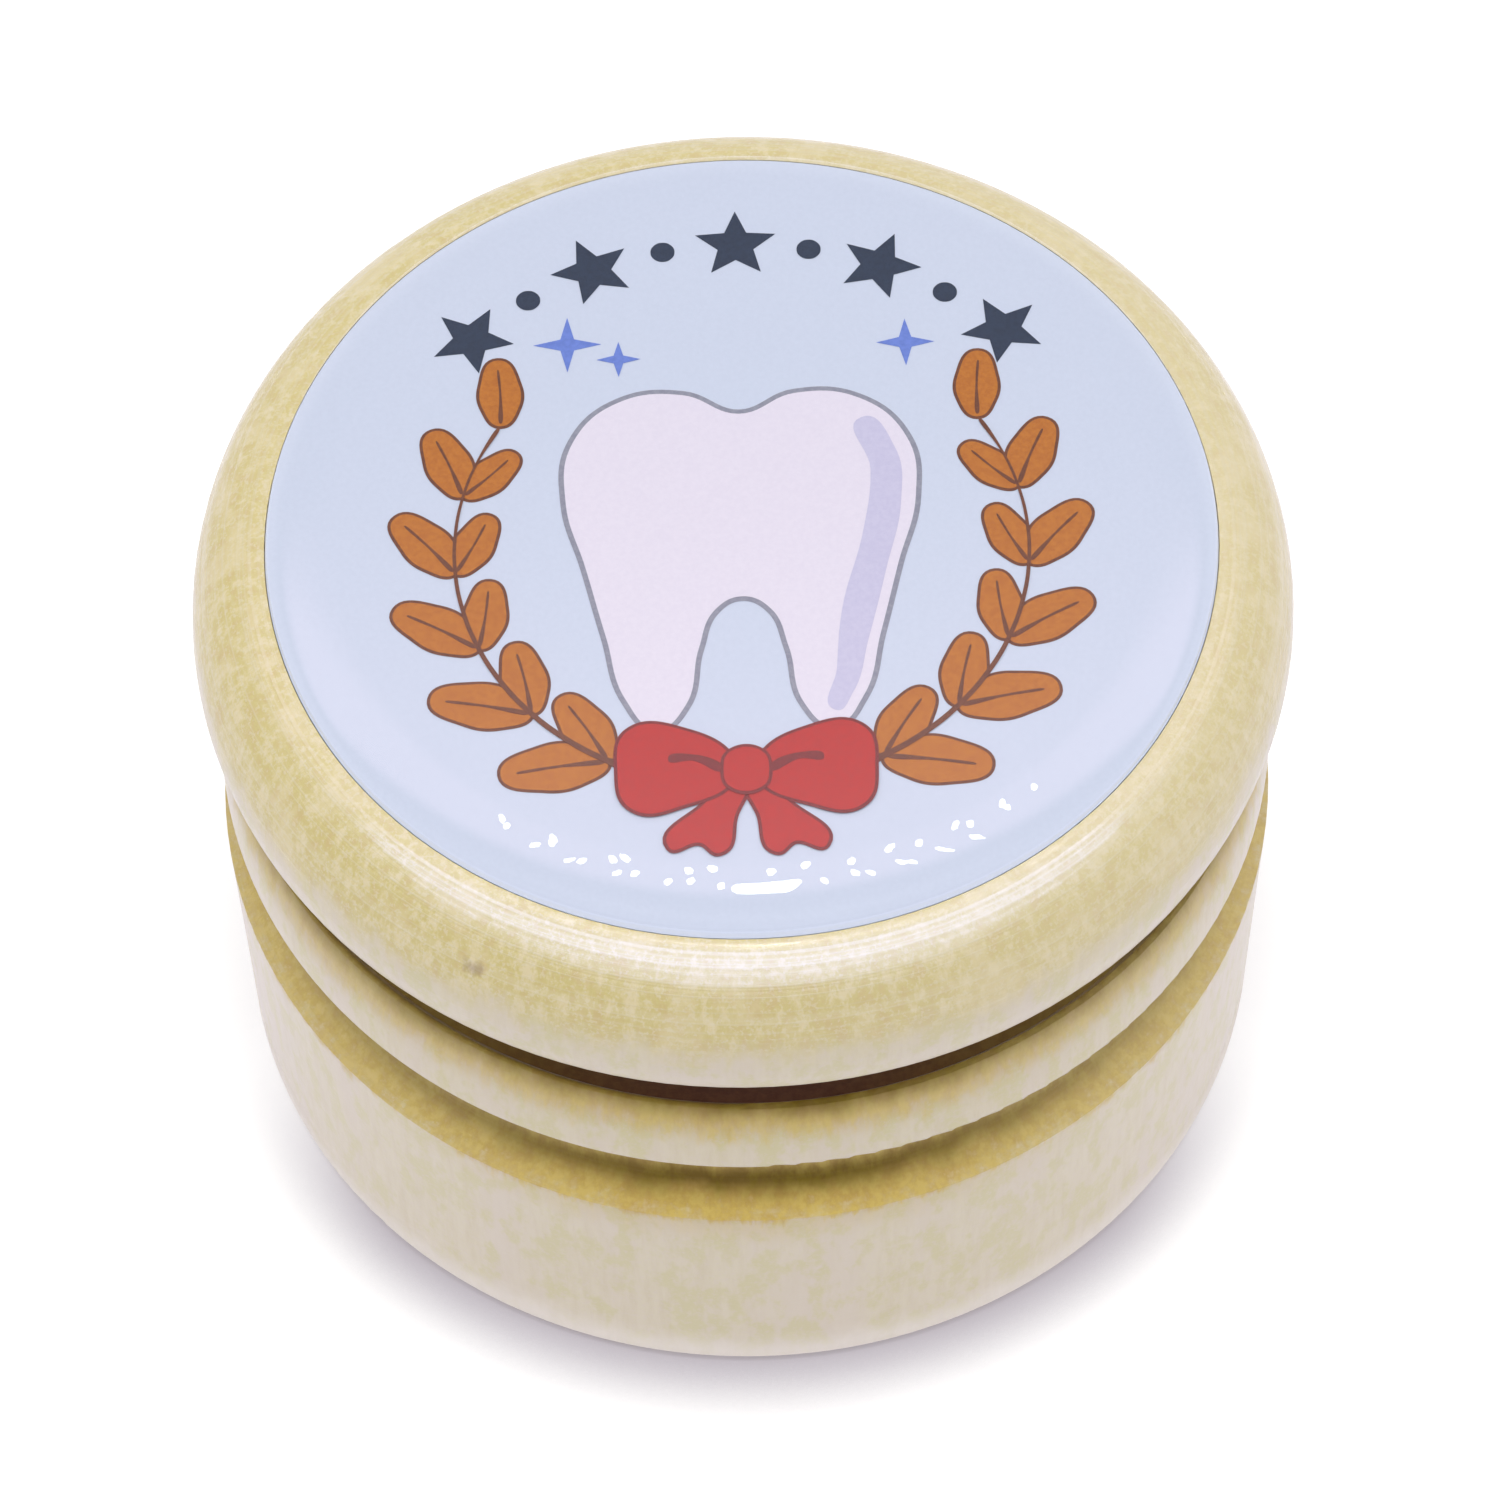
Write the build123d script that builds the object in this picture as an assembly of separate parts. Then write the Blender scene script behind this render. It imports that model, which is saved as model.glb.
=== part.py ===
from build123d import *
import math
import os

# A small turned wooden box that keeps a child's milk teeth. A hollow base carries a
# screw neck, a lid screws down over it, and the lid's top holds a round domed label.
# All lengths are millimetres. The box stands on z = 0 with its turning axis on Z.

# Base: outside, from the foot up to the ledge that the lid rests on
body_radius = 22.05
foot_taper = 0.4
foot_round = 0.6
wall_height = 12.4
groove_height = 3.9
groove_depth = 1.4
bead_setback = 0.15
bead_edge_round = 0.4
bead_height = 6.1
bead_land = 0.6
bead_shoulder_width = 2.4
bead_top_drop = 1.95
bead_top_round = 0.15
quirk_width = 1.3
quirk_depth = 0.85
ledge_width = 2.6

# Base: neck and the hollow for the teeth
neck_height = 3.8
neck_wall = 1.9
floor_thickness = 5.0
hollow_corner_round = 3.0
mouth_round = 0.4

# Screw thread, one right-handed start, cut in the wood of neck and lid
thread_pitch = 3.0
thread_height = 0.8
thread_root_width = 1.86
thread_crest_width = 0.84
thread_relief = 0.6
thread_radial_clearance = 0.2
thread_flank_clearance = 0.15
thread_root_overlap = 0.15
thread_start_angle = 200

# Lid
lid_overhang = 0.45
lid_edge_setback = 0.4
lid_edge_rise = 0.5
lid_edge_round = 0.25
lid_side_height = 2.05
lid_rim_height = 4.5
lid_rim_width = 3.2
neck_top_gap = 0.5
recess_depth = 0.3

# Label: adhesive sheet, printed disc and the clear dome cast on it
label_gap = 0.04
adhesive_inset = 0.1
adhesive_thickness = 0.15
print_thickness = 0.15
dome_inset = 0.03
dome_edge_height = 0.25
dome_shoulder_width = 3.0
dome_shoulder_height = 0.9
dome_crown_height = 0.25

# One overrun serves every cut
cut_overrun = 1.0

# Levels and radii that both halves share
groove_top_z = wall_height + groove_height
joint_z = groove_top_z + bead_height
neck_top_z = joint_z + neck_height
bead_radius = body_radius - bead_setback
ledge_radius = bead_radius - bead_shoulder_width
neck_radius = ledge_radius - ledge_width
hollow_radius = neck_radius - neck_wall
lid_radius = body_radius + lid_overhang
lid_waist_z = joint_z + lid_edge_rise + lid_side_height
lid_top_z = lid_waist_z + lid_rim_height
lid_ceiling_z = neck_top_z + neck_top_gap
recess_radius = lid_radius - lid_rim_width
recess_floor_z = lid_top_z - recess_depth
label_radius = recess_radius - label_gap
print_z = recess_floor_z + adhesive_thickness
dome_z = print_z + print_thickness


def rounded(outline, corner, radius):
    """Round the corner of a flat outline that lies nearest to the given point."""
    nearest = outline.vertices().sort_by_distance(corner)[0]
    return fillet(nearest, radius)


def turned(outline):
    """Turn an outline, drawn as (radius, height), once round the axis of the box."""
    return revolve(Plane.XZ * outline, Axis.Z, 360)


def disc(radius, low, high):
    """A plain round disc on the axis between two heights."""
    return Pos(0, 0, (low + high) / 2) * Cylinder(radius, high - low)


def thread(radius, crest_radius, root_width, crest_width, low, high):
    """The helical ridge on a cylinder of the given radius, cut square at low and high.

    Every ridge runs on the helix that starts two pitches under the joint, so the ridge on
    the neck and the wider one that cuts the lid's groove keep in step.
    """
    start = joint_z - 2 * thread_pitch
    flank_slope = (root_width - crest_width) / 2 / (crest_radius - radius)
    inner_radius = radius - thread_root_overlap
    inner_half_width = root_width / 2 + flank_slope * thread_root_overlap
    outline = Polyline(
        (inner_radius, 0, start - inner_half_width),
        (crest_radius, 0, start - crest_width / 2),
        (crest_radius, 0, start + crest_width / 2),
        (inner_radius, 0, start + inner_half_width),
        close=True,
    )
    path = Helix(thread_pitch, high - start + thread_pitch, radius, center=(0, 0, start))
    ridge = sweep(make_face(outline), path=path, is_frenet=True)
    slab = disc(crest_radius + cut_overrun, low, high)
    return Rot(0, 0, thread_start_angle) * (ridge & slab)


def make_base():
    """The turned base: wall, cove groove, bead, quirk, ledge, screw neck and round hollow.

    The quirk is the narrow channel behind the bead, which shows as a dark line under the lid.
    """
    foot_radius = body_radius - foot_taper
    groove_middle_z = wall_height + groove_height / 2
    shoulder_z = groove_top_z + bead_land
    shoulder_height = bead_height - bead_land
    shoulder_angle = math.degrees(math.asin(1 - bead_top_drop / shoulder_height))
    quirk_floor_z = joint_z - bead_top_drop - quirk_depth
    quirk_outer_radius = ledge_radius + quirk_width
    shoulder = EllipticalCenterArc(
        (ledge_radius, shoulder_z),
        bead_shoulder_width,
        shoulder_height,
        start_angle=0,
        arc_size=shoulder_angle,
    )
    bead_top = shoulder @ 1
    outside = [
        Line((0, 0), (foot_radius, 0)),
        Line((foot_radius, 0), (body_radius, wall_height)),
        ThreePointArc(
            (body_radius, wall_height),
            (body_radius - groove_depth, groove_middle_z),
            (bead_radius, groove_top_z),
        ),
        Line((bead_radius, groove_top_z), (bead_radius, shoulder_z)),
        shoulder,
        Line(bead_top, (quirk_outer_radius, quirk_floor_z)),
        Line((quirk_outer_radius, quirk_floor_z), (ledge_radius, quirk_floor_z)),
        Line((ledge_radius, quirk_floor_z), (ledge_radius, joint_z)),
        Line((ledge_radius, joint_z), (neck_radius, joint_z)),
        Line((neck_radius, joint_z), (neck_radius, neck_top_z)),
    ]
    inside = [
        Line((neck_radius, neck_top_z), (hollow_radius, neck_top_z)),
        Line((hollow_radius, neck_top_z), (hollow_radius, floor_thickness)),
        Line((hollow_radius, floor_thickness), (0, floor_thickness)),
        Line((0, floor_thickness), (0, 0)),
    ]
    outline = make_face(outside + inside)
    outline = rounded(outline, (foot_radius, 0), foot_round)
    outline = rounded(outline, (bead_radius, groove_top_z), bead_edge_round)
    outline = rounded(outline, (bead_top.X, bead_top.Y), bead_top_round)
    outline = rounded(outline, (hollow_radius, neck_top_z), mouth_round)
    outline = rounded(outline, (hollow_radius, floor_thickness), hollow_corner_round)
    ridge = thread(
        neck_radius,
        neck_radius + thread_height,
        thread_root_width,
        thread_crest_width,
        joint_z + thread_relief,
        neck_top_z,
    )
    return turned(outline) + ridge


def make_lid():
    """The turned lid: rounded rim, label recess on top, threaded bore underneath."""
    lid_edge_radius = lid_radius - lid_edge_setback
    lid_edge_z = joint_z + lid_edge_rise
    lower_side = TangentArc((lid_radius, lid_waist_z), (lid_edge_radius, lid_edge_z), tangent=(0, -1))
    rim = EllipticalCenterArc(
        (recess_radius, lid_waist_z), lid_rim_width, lid_rim_height, start_angle=0, arc_size=90
    )
    outline = make_face(
        [
            Line((0, joint_z), (ledge_radius, joint_z)),
            Line((ledge_radius, joint_z), (lid_edge_radius, lid_edge_z)),
            lower_side,
            rim,
            Line((recess_radius, lid_top_z), (recess_radius, recess_floor_z)),
            Line((recess_radius, recess_floor_z), (0, recess_floor_z)),
            Line((0, recess_floor_z), (0, joint_z)),
        ]
    )
    outline = rounded(outline, (lid_edge_radius, lid_edge_z), lid_edge_round)
    bore_radius = neck_radius + thread_radial_clearance
    bore_start_z = joint_z - cut_overrun
    groove = thread(
        bore_radius,
        bore_radius + thread_height,
        thread_root_width + 2 * thread_flank_clearance,
        thread_crest_width + 2 * thread_flank_clearance,
        bore_start_z,
        lid_ceiling_z,
    )
    return turned(outline) - (disc(bore_radius, bore_start_z, lid_ceiling_z) + groove)


def make_adhesive():
    """The double-sided sheet that holds the label in the lid's recess."""
    return disc(label_radius - adhesive_inset, recess_floor_z, print_z)


def make_print():
    """The printed disc."""
    return disc(label_radius, print_z, dome_z)


def make_dome():
    """The clear dome: a short upright edge, a rounded shoulder and a shallow crown.

    The shoulder stops just short of level, where its slope is that of the crown's edge.
    """
    dome_radius = label_radius - dome_inset
    edge_z = dome_z + dome_edge_height
    crown_radius = dome_radius - dome_shoulder_width
    crown_slope = 2 * dome_crown_height / crown_radius
    shoulder_angle = math.degrees(math.atan2(dome_shoulder_height, dome_shoulder_width * crown_slope))
    shoulder = EllipticalCenterArc(
        (crown_radius, edge_z),
        dome_shoulder_width,
        dome_shoulder_height,
        start_angle=0,
        arc_size=shoulder_angle,
    )
    crown_edge = shoulder @ 1
    crown_z = crown_edge.Y + dome_crown_height
    outline = make_face(
        [
            Line((0, dome_z), (dome_radius, dome_z)),
            Line((dome_radius, dome_z), (dome_radius, edge_z)),
            shoulder,
            TangentArc((0, crown_z), crown_edge, tangent=(1, 0)),
            Line((0, crown_z), (0, dome_z)),
        ]
    )
    return turned(outline)


pieces = {
    "base": make_base(),
    "lid": make_lid(),
    "label_adhesive": make_adhesive(),
    "label_print": make_print(),
    "label_dome": make_dome(),
}

os.makedirs("parts", exist_ok=True)
for name, piece in pieces.items():
    export_step(piece, "parts/" + name + ".step")
    print(name, round(piece.volume, 1), "mm3")
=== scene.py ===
import math

import bpy
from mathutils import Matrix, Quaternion, Vector


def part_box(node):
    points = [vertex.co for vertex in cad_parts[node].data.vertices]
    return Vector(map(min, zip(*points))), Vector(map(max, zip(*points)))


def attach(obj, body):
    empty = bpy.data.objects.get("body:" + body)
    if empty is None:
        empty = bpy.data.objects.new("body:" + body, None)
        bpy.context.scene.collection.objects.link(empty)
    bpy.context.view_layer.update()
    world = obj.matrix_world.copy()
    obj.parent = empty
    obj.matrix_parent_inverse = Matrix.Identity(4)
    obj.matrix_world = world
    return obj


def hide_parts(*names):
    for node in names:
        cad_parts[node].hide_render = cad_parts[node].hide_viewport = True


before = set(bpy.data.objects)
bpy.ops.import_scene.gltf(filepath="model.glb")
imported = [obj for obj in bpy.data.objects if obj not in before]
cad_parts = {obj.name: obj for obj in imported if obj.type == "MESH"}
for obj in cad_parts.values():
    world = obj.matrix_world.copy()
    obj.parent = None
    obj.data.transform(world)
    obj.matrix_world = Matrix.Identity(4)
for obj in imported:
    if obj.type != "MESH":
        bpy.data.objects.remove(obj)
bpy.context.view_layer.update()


# The base: one turned piece of pale close-grained wood with a cove groove, a bead and the screw neck.
# The grain stands upright, so its walls show pale fibres and the faces that look up show yellow end grain.
# It was sanded on the lathe, which left fine rings, and sprayed with clear satin lacquer.
def add_step(tree, kind, inputs=None, **settings):
    node = tree.nodes.new(kind)
    for name, value in settings.items():
        setattr(node, name, value)
    for socket, value in (inputs or {}).items():
        if isinstance(value, bpy.types.NodeSocket):
            tree.links.new(value, node.inputs[socket])
        else:
            node.inputs[socket].default_value = value
    return node


def sum_up(tree, operation, first, second=0.0, third=0.0):
    return add_step(tree, "ShaderNodeMath", {0: first, 1: second, 2: third}, operation=operation).outputs[0]


def measure(tree, operation, inputs, output="Vector"):
    return add_step(tree, "ShaderNodeVectorMath", inputs, operation=operation).outputs[output]


def part_of(tree, place, axis):
    return add_step(tree, "ShaderNodeSeparateXYZ", {0: place}).outputs[axis]


def stretch(tree, place, factors):
    return measure(tree, "MULTIPLY", {0: place, 1: factors})


def speckle(tree, place, scale, detail=2.0, roughness=0.5):
    inputs = {"Vector": place, "Scale": scale, "Detail": detail, "Roughness": roughness}
    return add_step(tree, "ShaderNodeTexNoise", inputs).outputs["Fac"]


def drift(tree, base, noise, amount):
    return sum_up(tree, "MULTIPLY_ADD", sum_up(tree, "SUBTRACT", noise, 0.5), amount, base)


def shade_between(tree, value, stops):
    ramp = add_step(tree, "ShaderNodeValToRGB", {"Fac": value})
    while len(ramp.color_ramp.elements) < len(stops):
        ramp.color_ramp.elements.new(0.5)
    for element, (position, colour) in zip(ramp.color_ramp.elements, stops):
        element.position = position
        element.color = (*colour, 1.0)
    return ramp.outputs["Color"]


def lay_over(tree, share, under, over, blend_type="MIX"):
    inputs = {0: share, 6: under, 7: over}
    return add_step(tree, "ShaderNodeMix", inputs, data_type="RGBA", blend_type=blend_type).outputs[2]


def soft_step(tree, value, low, high, to_low=0.0, to_high=1.0):
    inputs = {"Value": value, "From Min": low, "From Max": high, "To Min": to_low, "To Max": to_high}
    return add_step(tree, "ShaderNodeMapRange", inputs, interpolation_type="SMOOTHSTEP").outputs["Result"]


def relief(tree, height, depth, under=None):
    inputs = {"Strength": 1.0, "Distance": depth, "Height": height}
    if under is not None:
        inputs["Normal"] = under
    return add_step(tree, "ShaderNodeBump", inputs).outputs[0]


def new_finish(name):
    material = bpy.data.materials.new(name)
    material.use_nodes = True
    tree = material.node_tree
    shader = tree.nodes["Principled BSDF"]
    return material, tree, shader


pale_fibre = (0.715, 0.645, 0.470)
pink_fibre = (0.705, 0.620, 0.510)
dark_fibre = (0.660, 0.580, 0.390)
green_blotch = (0.650, 0.595, 0.320)
end_grain_pale = (0.745, 0.665, 0.460)
end_grain_light = (0.745, 0.640, 0.370)
end_grain_yellow = (0.645, 0.550, 0.218)
end_grain_orange = (0.635, 0.505, 0.218)
knot_brown = (0.30, 0.20, 0.11)
golden_lacquer = ((0.550, 0.368, 0.085), (0.650, 0.490, 0.120))
# Painted shade: these dark browns stand in for the shade in the cove, under the lid's edge and in the quirk.
recess_painted_shade = ((0.175, 0.108, 0.006), (0.215, 0.148, 0.008))
quirk_painted_shade = ((0.150, 0.066, 0.058), (0.185, 0.088, 0.070))
# Painted light: the bottom of the base is painted paler and lavender, standing in for light from the floor.
foot_painted_floor_light = ((0.885, 0.830, 0.750), (0.915, 0.862, 0.790))
outer_face_radius = (19.25, 19.40)
ring_relief_depth = 0.00003
fibre_relief_depth = 0.000015
pore_relief_depth = 0.00001


def pooled(tree, height, edges):
    made = soft_step(tree, height, edges[0], edges[1])
    if len(edges) > 2:
        made = sum_up(tree, "MULTIPLY", made, soft_step(tree, height, edges[3], edges[2]))
    return made


def turned_wood(name, seed, end_grain_slopes, pools=(), knots=()):
    material, tree, shader = new_finish(name)
    place = add_step(tree, "ShaderNodeTexCoord")
    mm = measure(tree, "SCALE", {0: place.outputs["Object"], "Scale": 1000.0})
    shifted = measure(tree, "ADD", {0: mm, 1: (seed * 7.1, seed * 3.3, seed * 5.7)})
    radius = measure(tree, "LENGTH", {0: stretch(tree, mm, (1.0, 1.0, 0.0))}, "Value")
    across = part_of(tree, mm, "X")
    height = part_of(tree, mm, "Z")
    facing = part_of(tree, place.outputs["Normal"], "Z")
    sideways = soft_step(tree, sum_up(tree, "DIVIDE", sum_up(tree, "ABSOLUTE", across), radius), 0.05, 0.85)

    upright = stretch(tree, shifted, (1.0, 1.0, 0.13))
    fibres = speckle(tree, upright, 2.4, 4.0, 0.65)
    broad_fibres = speckle(tree, upright, 0.35, 2.0, 0.5)
    clouds = speckle(tree, stretch(tree, shifted, (1.0, 1.0, 0.5)), 0.42, 4.0, 0.65)
    flecks = speckle(tree, stretch(tree, shifted, (1.0, 1.0, 0.35)), 1.7, 3.0, 0.7)
    blotches = speckle(tree, stretch(tree, shifted, (1.0, 1.0, 0.55)), 0.85, 3.0, 0.65)
    pores = speckle(tree, shifted, 5.0, 2.0, 0.6)

    pale = shade_between(tree, fibres, ((0.24, dark_fibre), (0.58, pale_fibre)))
    pale = lay_over(tree, soft_step(tree, broad_fibres, 0.42, 0.68, 0.0, 0.7), pale, (*pink_fibre, 1.0))
    pale = lay_over(tree, soft_step(tree, blotches, 0.46, 0.62, 0.0, 0.80), pale, (*green_blotch, 1.0))
    pale = lay_over(tree, soft_step(tree, pores, 0.50, 0.68, 0.0, 0.50), pale, (*pink_fibre, 1.0))

    yellow_stops = ((0.34, end_grain_orange), (0.50, end_grain_yellow), (0.66, end_grain_light))
    yellow = shade_between(tree, flecks, yellow_stops)
    yellow = lay_over(tree, soft_step(tree, clouds, 0.48, 0.66, 0.0, 0.60), yellow, (*end_grain_light, 1.0))
    yellow = lay_over(tree, soft_step(tree, pores, 0.50, 0.66, 0.0, 0.50), yellow, (*end_grain_pale, 1.0))
    # The flat top of the end grain is a little paler, partly as sanded end grain and partly as painted
    # highlight.
    pale_flat_top_and_highlight = soft_step(tree, facing, 0.72, 0.95, 0.0, 0.10)
    right_side = soft_step(tree, across, -8.0, 18.0, 0.0, 0.30)
    yellow = lay_over(tree, sum_up(tree, "ADD", pale_flat_top_and_highlight, right_side), yellow, (*end_grain_pale, 1.0))

    wander = drift(tree, drift(tree, facing, clouds, 0.55), fibres, 0.25)
    looks_up = soft_step(tree, wander, end_grain_slopes[0], end_grain_slopes[1])
    looks_down = soft_step(tree, facing, -0.6, -0.9)
    colour = lay_over(tree, sum_up(tree, "MAXIMUM", looks_up, looks_down), pale, yellow)

    along_profile = add_step(tree, "ShaderNodeCombineXYZ", {"X": radius, "Y": 0.0, "Z": height}).outputs[0]
    lathe_rings = speckle(tree, along_profile, 4.6, 3.0, 0.6)
    ring_share = sum_up(tree, "MULTIPLY", soft_step(tree, lathe_rings, 0.45, 0.62, 0.0, 0.35), looks_up)
    colour = lay_over(tree, ring_share, colour, (*end_grain_pale, 1.0))

    uneven = drift(tree, drift(tree, height, clouds, 1.2), flecks, 0.4)
    wicked = drift(tree, drift(tree, uneven, flecks, 1.6), fibres, 1.6)
    outside = soft_step(tree, radius, outer_face_radius[0], outer_face_radius[1])
    outside = sum_up(tree, "MULTIPLY", outside, sum_up(tree, "SUBTRACT", 1.0, looks_down))
    stain_and_painted_shade = 0.0
    # Golden pools are lacquer in the cuts; brown pools are painted shade, and the foot pool is painted light.
    for tint, strength, thinning, edges, reach in pools:
        held = sum_up(tree, "MULTIPLY", outside, soft_step(tree, radius, reach + 0.15, reach))
        depth = sum_up(tree, "MULTIPLY_ADD", sideways, -strength * thinning, strength)
        level = wicked if tint is golden_lacquer else uneven
        share = sum_up(tree, "MULTIPLY", sum_up(tree, "MULTIPLY", pooled(tree, level, edges), held), depth)
        pool_tint_colour = shade_between(tree, flecks, ((0.40, tint[0]), (0.60, tint[1])))
        colour = lay_over(tree, share, colour, pool_tint_colour)
        stain_and_painted_shade = sum_up(tree, "MAXIMUM", share, stain_and_painted_shade)
    for spot, size, depth in knots:
        ragged = drift(tree, measure(tree, "DISTANCE", {0: mm, 1: spot}, "Value"), flecks, size * 1.5)
        share = soft_step(tree, ragged, size, size * 0.2, 0.0, depth)
        colour = lay_over(tree, share, colour, (*knot_brown, 1.0))
    tree.links.new(colour, shader.inputs["Base Color"])

    rough = drift(tree, drift(tree, 0.46, flecks, 0.30), lathe_rings, 0.30)
    rough = sum_up(tree, "MULTIPLY_ADD", stain_and_painted_shade, 0.35, rough)
    tree.links.new(rough, shader.inputs["Roughness"])

    ring_height = sum_up(tree, "MULTIPLY", lathe_rings, sum_up(tree, "MULTIPLY_ADD", looks_up, 0.75, 0.25))
    rings = relief(tree, ring_height, ring_relief_depth)
    grain = relief(tree, fibres, fibre_relief_depth, rings)
    tree.links.new(relief(tree, pores, pore_relief_depth, grain), shader.inputs["Normal"])

    polished = soft_step(tree, drift(tree, lathe_rings, flecks, 0.25), 0.36, 0.62, -0.25, 0.45)
    polished = sum_up(tree, "MULTIPLY_ADD", polished, looks_up, 0.38)
    lacquer = sum_up(tree, "MULTIPLY", soft_step(tree, stain_and_painted_shade, 0.0, 0.5, 1.0, 0.0), polished)
    tree.links.new(lacquer, shader.inputs["Coat Weight"])
    shader.inputs["Coat Roughness"].default_value = 0.10
    shader.inputs["Specular IOR Level"].default_value = 0.25
    shader.inputs["Sheen Weight"].default_value = 0.22
    shader.inputs["Sheen Roughness"].default_value = 0.45
    shader.inputs["Sheen Tint"].default_value = (0.80, 0.80, 1.0, 1.0)
    return material


# Each pool is its two tints, its strength, how much thinner it lies to the sides, the heights in mm where it
# starts and stops, and the radius in mm that it reaches out to. The golden pools are lacquer lying in the
# cuts;
# the brown pools are painted shade in the cove, on the bead's top under the lid and in the quirk, lighter to
# the sides.
all_of_it = 30.0
quirk_edge = 20.85
base_pools = (
    (foot_painted_floor_light, 0.80, 0.0, (2.9, 0.7), all_of_it),
    (golden_lacquer, 0.30, 0.9, (10.0, 12.4, 14.6, 16.2), all_of_it),
    (golden_lacquer, 0.88, 0.35, (11.9, 12.75, 14.6, 16.2), all_of_it),
    (recess_painted_shade, 0.97, 0.64, (12.65, 13.6, 13.65, 14.8), all_of_it),
    (golden_lacquer, 0.80, 0.35, (17.8, 19.7), all_of_it),
    (recess_painted_shade, 0.92, 0.30, (19.2, 20.5), all_of_it),
    (recess_painted_shade, 0.95, 0.60, (18.0, 18.5), quirk_edge),
    (quirk_painted_shade, 0.95, 1.00, (18.0, 18.5), quirk_edge),
)
base_wood = turned_wood("lacquered_base_wood", 1.0, (0.10, 0.45), base_pools)
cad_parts["base"].data.materials[0] = base_wood


# The lid: turned from the same wood, with a rounded rim, a shallow recess for the label and a screw bore.
# The same lacquer covers it; the rim was polished last, so its rings show in the light.
# A small dark pin knot sits low on the front of the rim, to the left.
knot_place = (-10.9, -19.07, 27.43)
knot_size = 0.55
knot_depth = 0.55
lid_wood = turned_wood("lacquered_lid_wood", 4.0, (0.0, 0.30), knots=((knot_place, knot_size, knot_depth),))
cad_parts["lid"].data.materials[0] = lid_wood


# The adhesive: a thin white double-sided foam sheet that holds the label in the recess.
# It is hidden under the print; only its cut edge could show.
foam_shadow = (0.74, 0.74, 0.72)
foam_white = (0.86, 0.86, 0.84)
adhesive_finish, tree, shader = new_finish("white_adhesive_foam")
place = add_step(tree, "ShaderNodeTexCoord")
foam = speckle(tree, place.outputs["Object"], 4000.0, 3.0, 0.6)
foam_colour = shade_between(tree, foam, ((0.3, foam_shadow), (0.7, foam_white)))
tree.links.new(foam_colour, shader.inputs["Base Color"])
shader.inputs["Roughness"].default_value = 0.8
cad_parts["label_adhesive"].data.materials[0] = adhesive_finish


# The print: a disc of pale blue printed film, cut round and laid on the adhesive.
# The ground is a fine screen of ink, so it is very slightly mottled.
print_ground = (0.617, 0.677, 0.812)
print_shadow = (0.601, 0.661, 0.795)
screen_scale = 5000.0


def printed_ink(name, light, dark):
    material, tree, shader = new_finish(name)
    place = add_step(tree, "ShaderNodeTexCoord")
    screen = speckle(tree, place.outputs["Object"], screen_scale, 2.0, 0.6)
    colour = shade_between(tree, screen, ((0.35, dark), (0.65, light)))
    tree.links.new(colour, shader.inputs["Base Color"])
    shader.inputs["Roughness"].default_value = 0.55
    return material


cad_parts["label_print"].data.materials[0] = printed_ink("pale_blue_print", print_ground, print_shadow)


# The picture: a white milk tooth with a red bow between two sprigs, under a row of stars.
# Every colour is a very thin flat film of ink on the print, one over another, sealed under the resin.
ink_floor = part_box("label_print")[1].z
ink_thickness = 0.000008
ink_lift = 0.000012
MM = 0.001


def film_of_ink(name, outlines, layer, finish, grow=0.0, smooth=True):
    handle = "AUTO" if smooth else "VECTOR"
    corners = []
    faces = []
    for number, outline in enumerate(outlines):
        curve = bpy.data.curves.new(name, "CURVE")
        curve.dimensions = "2D"
        curve.fill_mode = "BOTH"
        curve.extrude = ink_thickness / 2
        curve.resolution_u = 10
        curve.offset = grow * MM
        spline = curve.splines.new("BEZIER")
        spline.bezier_points.add(len(outline) - 1)
        spline.use_cyclic_u = True
        for point, (x, y) in zip(spline.bezier_points, outline):
            point.co = (x * MM, y * MM, 0.0)
            point.handle_left_type = handle
            point.handle_right_type = handle
        drawn = bpy.data.objects.new(name + "_drawn", curve)
        bpy.context.scene.collection.objects.link(drawn)
        bpy.context.view_layer.update()
        cut = bpy.data.meshes.new_from_object(drawn.evaluated_get(bpy.context.evaluated_depsgraph_get()))
        bpy.data.objects.remove(drawn)
        first = len(corners)
        height = ink_floor + ink_lift * (layer + 0.4 * (number % 2))
        corners += [(v.co.x, v.co.y, v.co.z + height) for v in cut.vertices]
        faces += [[first + v for v in face.vertices] for face in cut.polygons]
    mesh = bpy.data.meshes.new(name)
    mesh.from_pydata(corners, [], faces)
    film = bpy.data.objects.new(name, mesh)
    bpy.context.scene.collection.objects.link(film)
    mesh.materials.append(finish)
    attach(film, "lid")
    return film


def placed(points, at=(0.0, 0.0), turn=0.0, size=1.0):
    c = math.cos(turn) * size
    s = math.sin(turn) * size
    return [(at[0] + x * c - y * s, at[1] + x * s + y * c) for x, y in points]


def mirrored(points):
    return [(-x, y) for x, y in reversed(points)]


def both_sides(shapes):
    return shapes + [mirrored(shape) for shape in shapes]


def on_circle(radius, angle, drop=0.0):
    return (radius * math.cos(angle), radius * math.sin(angle) - drop)


white_ink = printed_ink("white_ink", (0.795, 0.745, 0.850), (0.770, 0.720, 0.830))
grey_line_ink = printed_ink("grey_line_ink", (0.30, 0.31, 0.38), (0.24, 0.25, 0.32))
cool_shade_ink = printed_ink("cool_shade_ink", (0.60, 0.58, 0.76), (0.56, 0.54, 0.73))
leaf_ink = printed_ink("chestnut_leaf_ink", (0.51, 0.170, 0.012), (0.44, 0.130, 0.008))
leaf_line_ink = printed_ink("dark_brown_line_ink", (0.16, 0.045, 0.012), (0.11, 0.030, 0.010))
red_ink = printed_ink("bow_red_ink", (0.50, 0.016, 0.010), (0.42, 0.012, 0.008))
dark_red_ink = printed_ink("dark_red_line_ink", (0.20, 0.010, 0.010), (0.15, 0.008, 0.008))
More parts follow.
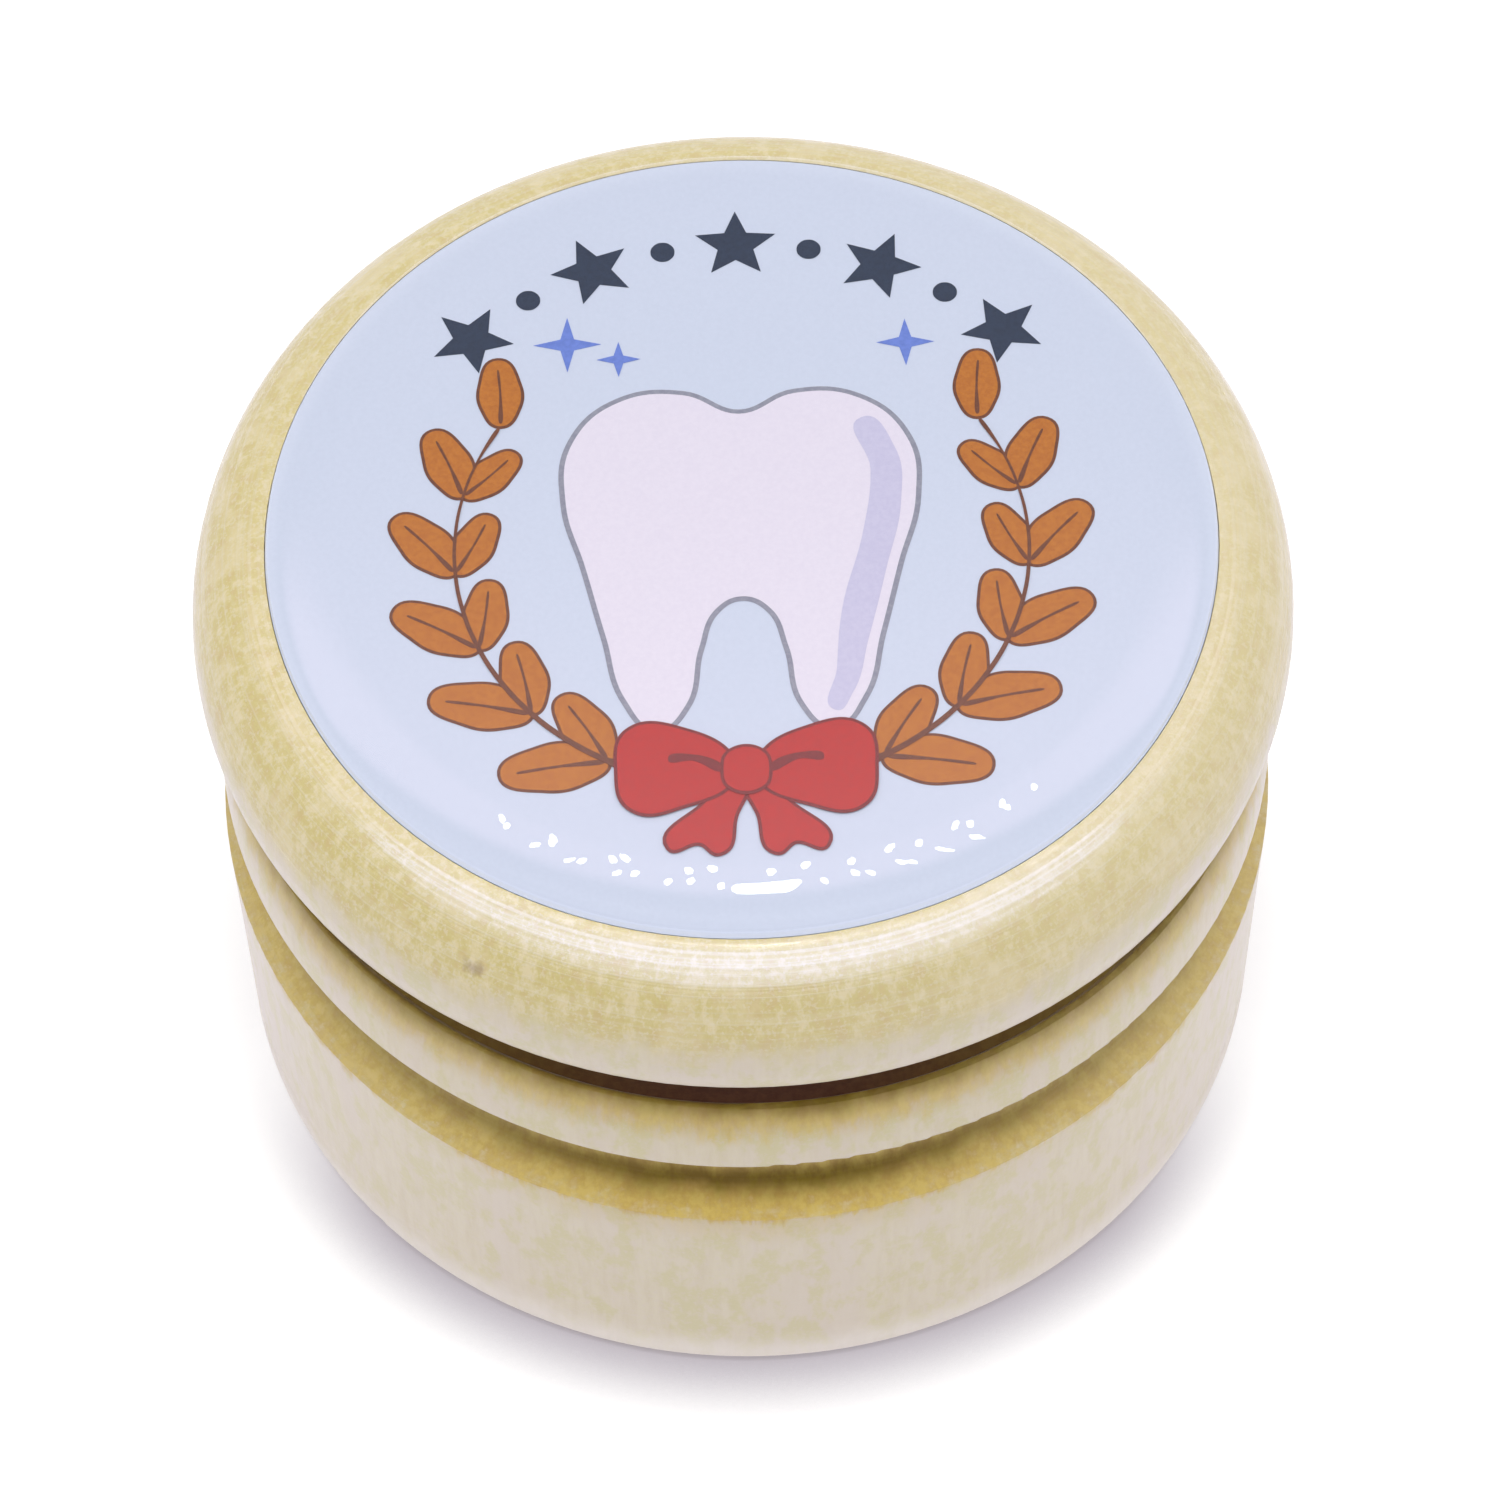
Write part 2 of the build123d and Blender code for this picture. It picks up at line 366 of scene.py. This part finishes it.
navy_ink = printed_ink("navy_star_ink", (0.008, 0.026, 0.062), (0.004, 0.018, 0.048))
blue_ink = printed_ink("sparkle_blue_ink", (0.150, 0.240, 0.680), (0.120, 0.200, 0.600))

tooth_at = (0.0, -0.6)
half_tooth = [
    (0.0, 6.7), (2.3, 7.7), (4.9, 7.4), (6.8, 5.4), (7.1, 2.4), (6.3, -0.9), (5.5, -4.3),
    (4.7, -7.4), (3.5, -8.7), (2.4, -7.7), (1.8, -4.9), (1.1, -3.0), (0.0, -2.4),
]
tooth = half_tooth + mirrored(half_tooth[1:-1])
tooth_shade = [
    (5.0, 6.4), (6.3, 4.9), (6.5, 2.2), (5.8, -1.2), (5.0, -4.6), (4.3, -7.2),
    (3.6, -8.0), (3.7, -6.0), (4.0, -3.0), (4.9, 0.6), (5.3, 3.8),
]
film_of_ink("tooth_line", [placed(tooth, tooth_at)], 1, grey_line_ink, grow=0.22)
film_of_ink("tooth_body", [placed(tooth, tooth_at)], 2, white_ink)
film_of_ink("tooth_shading", [placed(tooth_shade, tooth_at)], 3, cool_shade_ink)

leaf = [(0.0, 0.0), (1.2, 1.05), (2.9, 1.15), (4.7, 0.0), (2.9, -1.05), (1.2, -0.95)]
leaf_vein = [(0.2, 0.06), (2.2, 0.13), (4.0, 0.03), (4.0, -0.03), (2.2, 0.0), (0.2, -0.06)]
sprig_radius = 11.6
sprig_drop = 0.6
leaf_pairs = 6
leaf_start = -62
leaf_stride = 19
stem_steps = 12
stem_start = -70
stem_stride = 9.3
stem_half_width = 0.14
stem_taper = 0.009
leaves = []
veins = []
for number in range(leaf_pairs):
    angle = math.radians(leaf_start + number * leaf_stride)
    root = on_circle(sprig_radius, angle, sprig_drop)
    heading = angle + math.pi / 2
    for lean, size in ((-0.62, 0.92), (0.55, 0.78)):
        if number == leaf_pairs - 1 and lean > 0:
            continue
        leaf_size = size * (1.0 - 0.045 * number)
        leaves.append(placed(leaf, root, heading + lean, leaf_size))
        veins.append(placed(leaf_vein, root, heading + lean, leaf_size))
stem_out = []
stem_back = []
for step in range(stem_steps):
    angle = math.radians(stem_start + step * stem_stride)
    half_width = stem_half_width - stem_taper * step
    stem_out.append(on_circle(sprig_radius + half_width, angle, sprig_drop))
    stem_back.append(on_circle(sprig_radius - half_width, angle, sprig_drop))
stem = stem_out + stem_back[::-1]
film_of_ink("leaf_lines", both_sides(leaves), 1, leaf_line_ink, grow=0.13)
film_of_ink("leaf_fills", both_sides(leaves), 2, leaf_ink)
film_of_ink("leaf_veins", both_sides(veins), 3, leaf_line_ink)
film_of_ink("sprig_stems", both_sides([stem]), 4, leaf_line_ink)

bow_at = (0.0, -11.4)
bow_line_width = 0.14
bow_lobe = [(0.5, 0.45), (2.4, 1.9), (4.6, 2.0), (5.1, 0.1), (4.5, -1.8), (2.4, -1.6), (0.5, -0.45)]
bow_tail = [(0.2, -0.3), (1.7, -1.6), (3.1, -3.6), (1.9, -3.4), (1.1, -3.9), (0.5, -2.2)]
bow_fold = [(0.9, 0.15), (2.1, 0.75), (3.1, 0.55), (2.1, 0.45), (0.9, -0.05)]
bow_knot = [(0.9, 0.0), (0.6, 0.85), (-0.6, 0.85), (-0.9, 0.0), (-0.6, -0.85), (0.6, -0.85)]
bow_tails = both_sides([placed(bow_tail, bow_at)])
bow_lobes = both_sides([placed(bow_lobe, bow_at)])
film_of_ink("bow_tail_lines", bow_tails, 5, dark_red_ink, grow=bow_line_width)
film_of_ink("bow_tails", bow_tails, 6, red_ink)
film_of_ink("bow_lobe_lines", bow_lobes, 7, dark_red_ink, grow=bow_line_width)
film_of_ink("bow_lobes", bow_lobes, 8, red_ink)
film_of_ink("bow_folds", both_sides([placed(bow_fold, bow_at)]), 9, dark_red_ink)
film_of_ink("bow_knot_line", [placed(bow_knot, bow_at)], 10, dark_red_ink, grow=bow_line_width)
film_of_ink("bow_knot", [placed(bow_knot, bow_at)], 11, red_ink)


def star(points, long_arm, short_arm):
    arms = [short_arm if number % 2 else long_arm for number in range(points * 2)]
    return [on_circle(arm, math.pi / 2 + number * math.pi / points) for number, arm in enumerate(arms)]


star_row_radius = 15.2
star_row_drop = 0.4
star_angles = (44, 67, 90, 113, 136)
dot_angles = (55.5, 78.5, 101.5, 124.5)
dot_radius = 0.5
dot_outline = [on_circle(dot_radius, number * math.pi / 4) for number in range(8)]
stars = []
for angle in map(math.radians, star_angles):
    spot = on_circle(star_row_radius, angle, star_row_drop)
    stars.append(placed(star(5, 1.75, 0.78), spot, angle - math.pi / 2))
dots = []
for angle in map(math.radians, dot_angles):
    dots.append(placed(dot_outline, on_circle(star_row_radius, angle, star_row_drop)))
sparkles = [
    placed(star(4, 1.4, 0.40), (-7.0, 9.8)),
    placed(star(4, 0.9, 0.28), (-4.9, 9.0)),
    placed(star(4, 1.2, 0.36), (6.9, 9.6)),
]
film_of_ink("star_row", stars, 1, navy_ink, smooth=False)
film_of_ink("dot_row", dots, 1, navy_ink)
film_of_ink("sparkles", sparkles, 1, blue_ink, smooth=False)


# The dome: clear resin poured on the print, which rounds over at its edge by surface tension.
# It sits on the print with no gap, so its underside is the print itself and only its skin is made here.
dome_floor, dome_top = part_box("label_dome")
dome_radius = dome_top.x
dome_edge_height = 0.00025
dome_shoulder_width = 0.0030
dome_shoulder_height = 0.0009
dome_segments = 360
dome_rings = 40
crown_radius = dome_radius - dome_shoulder_width
edge_z = dome_floor.z + dome_edge_height
crown_slope = 2 * (dome_top.z - edge_z - dome_shoulder_height) / crown_radius
shoulder_end = math.atan2(dome_shoulder_height, dome_shoulder_width * crown_slope)
profile = [(dome_radius, dome_floor.z), (dome_radius, edge_z)]
for number in range(1, dome_rings + 1):
    angle = shoulder_end * number / dome_rings
    reach = crown_radius + dome_shoulder_width * math.cos(angle)
    profile.append((reach, edge_z + dome_shoulder_height * math.sin(angle)))
crown_edge_radius, crown_edge_z = profile[-1]
crown_rise = dome_top.z - crown_edge_z
sphere_radius = (crown_edge_radius**2 + crown_rise**2) / (2 * crown_rise)
for number in range(1, dome_rings):
    reach = crown_edge_radius * (1 - number / dome_rings)
    profile.append((reach, dome_top.z - sphere_radius + math.sqrt(sphere_radius**2 - reach**2)))
points = []
faces = []
for reach, z in profile:
    for number in range(dome_segments):
        angle = 2 * math.pi * number / dome_segments
        points.append((reach * math.cos(angle), reach * math.sin(angle), z))
for ring in range(len(profile) - 1):
    low = ring * dome_segments
    high = low + dome_segments
    for number in range(dome_segments):
        after = (number + 1) % dome_segments
        faces.append((low + number, low + after, high + after, high + number))
points.append((0.0, 0.0, dome_top.z))
last_ring = (len(profile) - 1) * dome_segments
for number in range(dome_segments):
    faces.append((last_ring + number, last_ring + (number + 1) % dome_segments, len(points) - 1))
dome_mesh = bpy.data.meshes.new("resin_dome")
dome_mesh.from_pydata(points, [], faces)
dome_mesh.shade_smooth()
dome = bpy.data.objects.new("resin_dome", dome_mesh)
bpy.context.scene.collection.objects.link(dome)

resin_tint = (0.985, 0.988, 1.0, 1.0)
resin_ior = 1.5
resin_ripple_depth = 0.000002
full_white = (1.0, 1.0, 1.0, 1.0)
resin = bpy.data.materials.new("clear_cast_resin")
resin.use_nodes = True
tree = resin.node_tree
tree.nodes.clear()
place = add_step(tree, "ShaderNodeTexCoord")
ripple = speckle(tree, place.outputs["Object"], 160.0, 2.0, 0.5)
wave = relief(tree, ripple, resin_ripple_depth)
clear = add_step(tree, "ShaderNodeBsdfTransparent", {"Color": resin_tint})
gleam = add_step(tree, "ShaderNodeBsdfGlossy", {"Color": full_white, "Roughness": 0.0, "Normal": wave})
grazing = add_step(tree, "ShaderNodeFresnel", {"IOR": resin_ior, "Normal": wave})
inner_side = add_step(tree, "ShaderNodeNewGeometry").outputs["Backfacing"]
shine = sum_up(tree, "MULTIPLY", grazing.outputs[0], sum_up(tree, "SUBTRACT", 1.0, inner_side))
skin = add_step(tree, "ShaderNodeMixShader", {0: shine, 1: clear.outputs[0], 2: gleam.outputs[0]})
add_step(tree, "ShaderNodeOutputMaterial", {"Surface": skin.outputs[0]})
dome_mesh.materials.append(resin)
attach(dome, "lid")
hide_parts("label_dome")


# The table: a white studio sweep of paper that keeps only a painted soft shadow close round the foot,
# stronger in front.
# The paper is a little cool and well lit, so it brightens the walls from below with a faint lavender tint.
sweep_size = 3.0
sweep_gap = 0.00002
sweep_colour = (0.87, 0.85, 0.90, 1.0)
sweep_glow = 0.25
half_grey = (0.5, 0.5, 0.5, 1.0)
seen_shadow = (0.43, 0.40, 0.44, 1.0)
seen_glow = 0.72
shadow_reach = 0.0055
corners = [(x * sweep_size, y * sweep_size, -sweep_gap) for x, y in ((-1, -1), (1, -1), (1, 1), (-1, 1))]
sweep_mesh = bpy.data.meshes.new("studio_sweep")
sweep_mesh.from_pydata(corners, [], [(0, 1, 2, 3)])
sweep = bpy.data.objects.new("studio_sweep", sweep_mesh)
bpy.context.scene.collection.objects.link(sweep)
sweep_finish = bpy.data.materials.new("studio_sweep_white")
sweep_finish.use_nodes = True
tree = sweep_finish.node_tree
tree.nodes.clear()
ray = add_step(tree, "ShaderNodeLightPath")
paper = add_step(tree, "ShaderNodeBsdfDiffuse", {"Color": sweep_colour})
paper_glow = add_step(tree, "ShaderNodeEmission", {"Color": sweep_colour, "Strength": sweep_glow})
lit_paper = add_step(tree, "ShaderNodeAddShader", {0: paper.outputs[0], 1: paper_glow.outputs[0]})
# Painted shadow: the paper seen by the camera darkens by occlusion near the foot, more in front than at the
# sides and back.
closeness = add_step(tree, "ShaderNodeAmbientOcclusion", {"Distance": shadow_reach}, samples=16)
floor_place = add_step(tree, "ShaderNodeTexCoord")
ahead = part_of(tree, measure(tree, "NORMALIZE", {0: floor_place.outputs["Object"]}), "Y")
in_front = soft_step(tree, ahead, -0.25, -0.75, 0.30, 1.0)
shade = sum_up(tree, "MULTIPLY", soft_step(tree, closeness.outputs["AO"], 0.97, 0.45), in_front)
shadow = lay_over(tree, shade, full_white, seen_shadow)
seen = add_step(tree, "ShaderNodeBsdfDiffuse", {"Color": lay_over(tree, 1.0, shadow, half_grey, "MULTIPLY")})
glow_share = add_step(tree, "ShaderNodeEmission", {"Color": shadow, "Strength": seen_glow})
seen_floor = add_step(tree, "ShaderNodeAddShader", {0: seen.outputs[0], 1: glow_share.outputs[0]})
floor_choice = {0: ray.outputs["Is Camera Ray"], 1: lit_paper.outputs[0], 2: seen_floor.outputs[0]}
picked = add_step(tree, "ShaderNodeMixShader", floor_choice)
add_step(tree, "ShaderNodeOutputMaterial", {"Surface": picked.outputs[0]})
sweep_mesh.materials.append(sweep_finish)


# The room: a pale studio, bright overhead and at the sides, dim low in front, and white to the camera.
# A strip of warm cloth high at the back shows only as a soft shine in the lacquer and the resin.
def blend_levels(tree, share, low, high):
    return add_step(tree, "ShaderNodeMix", {0: share, 2: low, 3: high}).outputs[0]


room_tint = (1.0, 0.985, 0.99, 1.0)
strip_tint = (1.0, 0.74, 0.82, 1.0)
strip_strength = 2.0
back_level = 0.70
side_level = 0.74
top_level = 0.84
world = bpy.data.worlds.new("studio_room")
world.use_nodes = True
bpy.context.scene.world = world
tree = world.node_tree
tree.nodes.clear()
look = add_step(tree, "ShaderNodeTexCoord")
ray = add_step(tree, "ShaderNodeLightPath")
way_x = part_of(tree, look.outputs["Generated"], "X")
way_y = part_of(tree, look.outputs["Generated"], "Y")
way_z = part_of(tree, look.outputs["Generated"], "Z")
frontness = soft_step(tree, sum_up(tree, "MULTIPLY", way_y, -1.0), -0.05, 0.35)
sideness = soft_step(tree, sum_up(tree, "ABSOLUTE", way_x), 0.45, 0.95)
highness = soft_step(tree, way_z, 0.40, 0.50, 0.08, 0.50)
topness = soft_step(tree, way_z, 0.75, 0.97)
level = blend_levels(tree, frontness, back_level, highness)
level = blend_levels(tree, sideness, level, side_level)
level = blend_levels(tree, topness, level, top_level)
high_back = soft_step(tree, way_z, 0.30, 0.62, 0.90, 0.35)
mirrored_level = blend_levels(tree, frontness, high_back, level)
level = blend_levels(tree, ray.outputs["Is Glossy Ray"], level, mirrored_level)
room = add_step(tree, "ShaderNodeBackground", {"Color": room_tint, "Strength": level})
strip = sum_up(tree, "MULTIPLY", soft_step(tree, way_y, 0.63, 0.44), soft_step(tree, way_y, 0.08, 0.28))
strip = sum_up(tree, "MULTIPLY", strip, soft_step(tree, way_z, 0.55, 0.75))
strip = sum_up(tree, "MULTIPLY", strip, ray.outputs["Is Glossy Ray"])
strip_level = sum_up(tree, "MULTIPLY", strip, strip_strength)
strip_light = add_step(tree, "ShaderNodeBackground", {"Color": strip_tint, "Strength": strip_level})
lit_room = add_step(tree, "ShaderNodeAddShader", {0: room.outputs[0], 1: strip_light.outputs[0]})
white = add_step(tree, "ShaderNodeBackground", {"Color": full_white, "Strength": 1.0})
plain_white = sum_up(tree, "MAXIMUM", ray.outputs["Is Camera Ray"], ray.outputs["Is Transmission Ray"])
chosen = add_step(tree, "ShaderNodeMixShader", {0: plain_white, 1: lit_room.outputs[0], 2: white.outputs[0]})
add_step(tree, "ShaderNodeOutputWorld", {"Surface": chosen.outputs[0]})


# The lamps: one broad soft lamp hangs overhead and lights the whole box.
# Two cool panels only put their shine on the lid's lacquered rim.
# Two rows of small lamps, with one short bar among them, only put theirs on the resin and the lacquer.
def soft_lamp(name, at, towards, size, power, colour=(1.0, 1.0, 1.0)):
    lamp = bpy.data.lights.new(name, "AREA")
    lamp.shape = "ELLIPSE"
    lamp.size, lamp.size_y = size
    lamp.energy = power
    lamp.color = colour
    hung = bpy.data.objects.new(name, lamp)
    hung.location = at
    hung.rotation_mode = "QUATERNION"
    hung.rotation_quaternion = (Vector(towards) - Vector(at)).to_track_quat("-Z", "Y")
    bpy.context.scene.collection.objects.link(hung)
    return hung


overhead = soft_lamp("overhead_softbox", (0.0, -0.19, 1.0), (0.0, 0.0, 0.02), (0.9, 0.36), 4.4)
overhead.visible_glossy = False

panel_at = (0.0, -0.39, 0.87)
panel_below = (0.0, -0.39, 0.0)
panel_depth = 1.26
panel_blue = (0.42, 0.50, 1.0)
lid_only = bpy.data.collections.new("lid_only")
lid_only.objects.link(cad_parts["lid"])
for name, across, power in (("wide_rim_panel", 1.7, 45.0), ("narrow_rim_panel", 0.60, 19.0)):
    panel = soft_lamp(name, panel_at, panel_below, (across, panel_depth), power, panel_blue)
    panel.visible_diffuse = False
    panel.light_linking.receiver_collection = lid_only

lamp_height = 0.3
lamp_sides = 12
lamp_strength = 20.0
far_lamp = (11.5, 0.80)
far_row_count = 18
far_row_start = -52.5
far_row_step = 6.9
far_row_back = 112.0
near_lamp = (12.4, 0.95)
near_row_count = 20
near_row_start = -51.0
near_row_step = 6.35
near_row_back = 66.0
bar_middle = 4.0
bar_clearance = 8.5
bar = ((-3.4, 34), (11.4, 34), (12.6, 47), (12.6, 62), (11.0, 76), (-2.6, 70), (-4.4, 58), (-4.4, 46))
corners = []
faces = []


def small_lamp(x, y, tall, wide):
    lean = math.radians(0.55 * x)
    first = len(corners)
    for number in range(lamp_sides):
        turn = 2 * math.pi * number / lamp_sides
        along = tall * math.cos(turn)
        beside = wide * math.sin(turn)
        spot_x = x - along * math.sin(lean) + beside * math.cos(lean)
        spot_y = y + along * math.cos(lean) + beside * math.sin(lean)
        corners.append((spot_x * MM, spot_y * MM, lamp_height))
    faces.append(list(range(first, first + lamp_sides)))


for number in range(far_row_count):
    zigzag = -1 if number % 2 else 1
    x = far_row_start + far_row_step * number + 1.1 * zigzag
    small_lamp(x, far_row_back - 0.0035 * x * x - 5.5 * zigzag, *far_lamp)
for number in range(near_row_count):
    zigzag = -1 if number % 2 else 1
    x = near_row_start + near_row_step * number
    if abs(x - bar_middle) > bar_clearance:
        small_lamp(x, near_row_back - 0.15 * x + 4.8 * zigzag, *near_lamp)
first = len(corners)
corners += [(x * MM, y * MM, lamp_height) for x, y in bar]
faces.append(list(range(first, first + len(bar))))
small_lamps = bpy.data.meshes.new("small_lamp_rows")
small_lamps.from_pydata(corners, [], faces)
lamp_rows = bpy.data.objects.new("small_lamp_rows", small_lamps)
bpy.context.scene.collection.objects.link(lamp_rows)
lamp_glow = bpy.data.materials.new("small_lamp_glow")
lamp_glow.use_nodes = True
tree = lamp_glow.node_tree
tree.nodes.clear()
glow = add_step(tree, "ShaderNodeEmission", {"Color": full_white, "Strength": lamp_strength})
add_step(tree, "ShaderNodeOutputMaterial", {"Surface": glow.outputs[0]})
lamp_glow.cycles.emission_sampling = "NONE"
small_lamps.materials.append(lamp_glow)
lamp_rows.visible_camera = False
lamp_rows.visible_diffuse = False
lamp_rows.visible_shadow = False


# The camera: the photograph's own view, from above the front of the box and turned a little to one side.
# It was fitted to the outlines of the lid, the label and the grooves.
camera_at = Vector((0.0, -0.17497, 0.27544))
camera_aim = Vector((0.0, 0.0, 0.0135))
camera_roll = math.radians(-1.2)
camera = bpy.data.cameras.new("photo_camera")
camera.sensor_width = 36.0
camera.lens = 181.03
camera.shift_x = -0.0024
camera.shift_y = 0.0084
camera.clip_start = 0.01
viewer = bpy.data.objects.new("photo_camera", camera)
viewer.location = camera_at
viewer.rotation_mode = "QUATERNION"
level_view = (camera_aim - camera_at).to_track_quat("-Z", "Y")
viewer.rotation_quaternion = level_view @ Quaternion((0.0, 0.0, 1.0), camera_roll)
bpy.context.scene.collection.objects.link(viewer)
bpy.context.scene.camera = viewer
bpy.context.scene.view_settings.view_transform = "Standard"
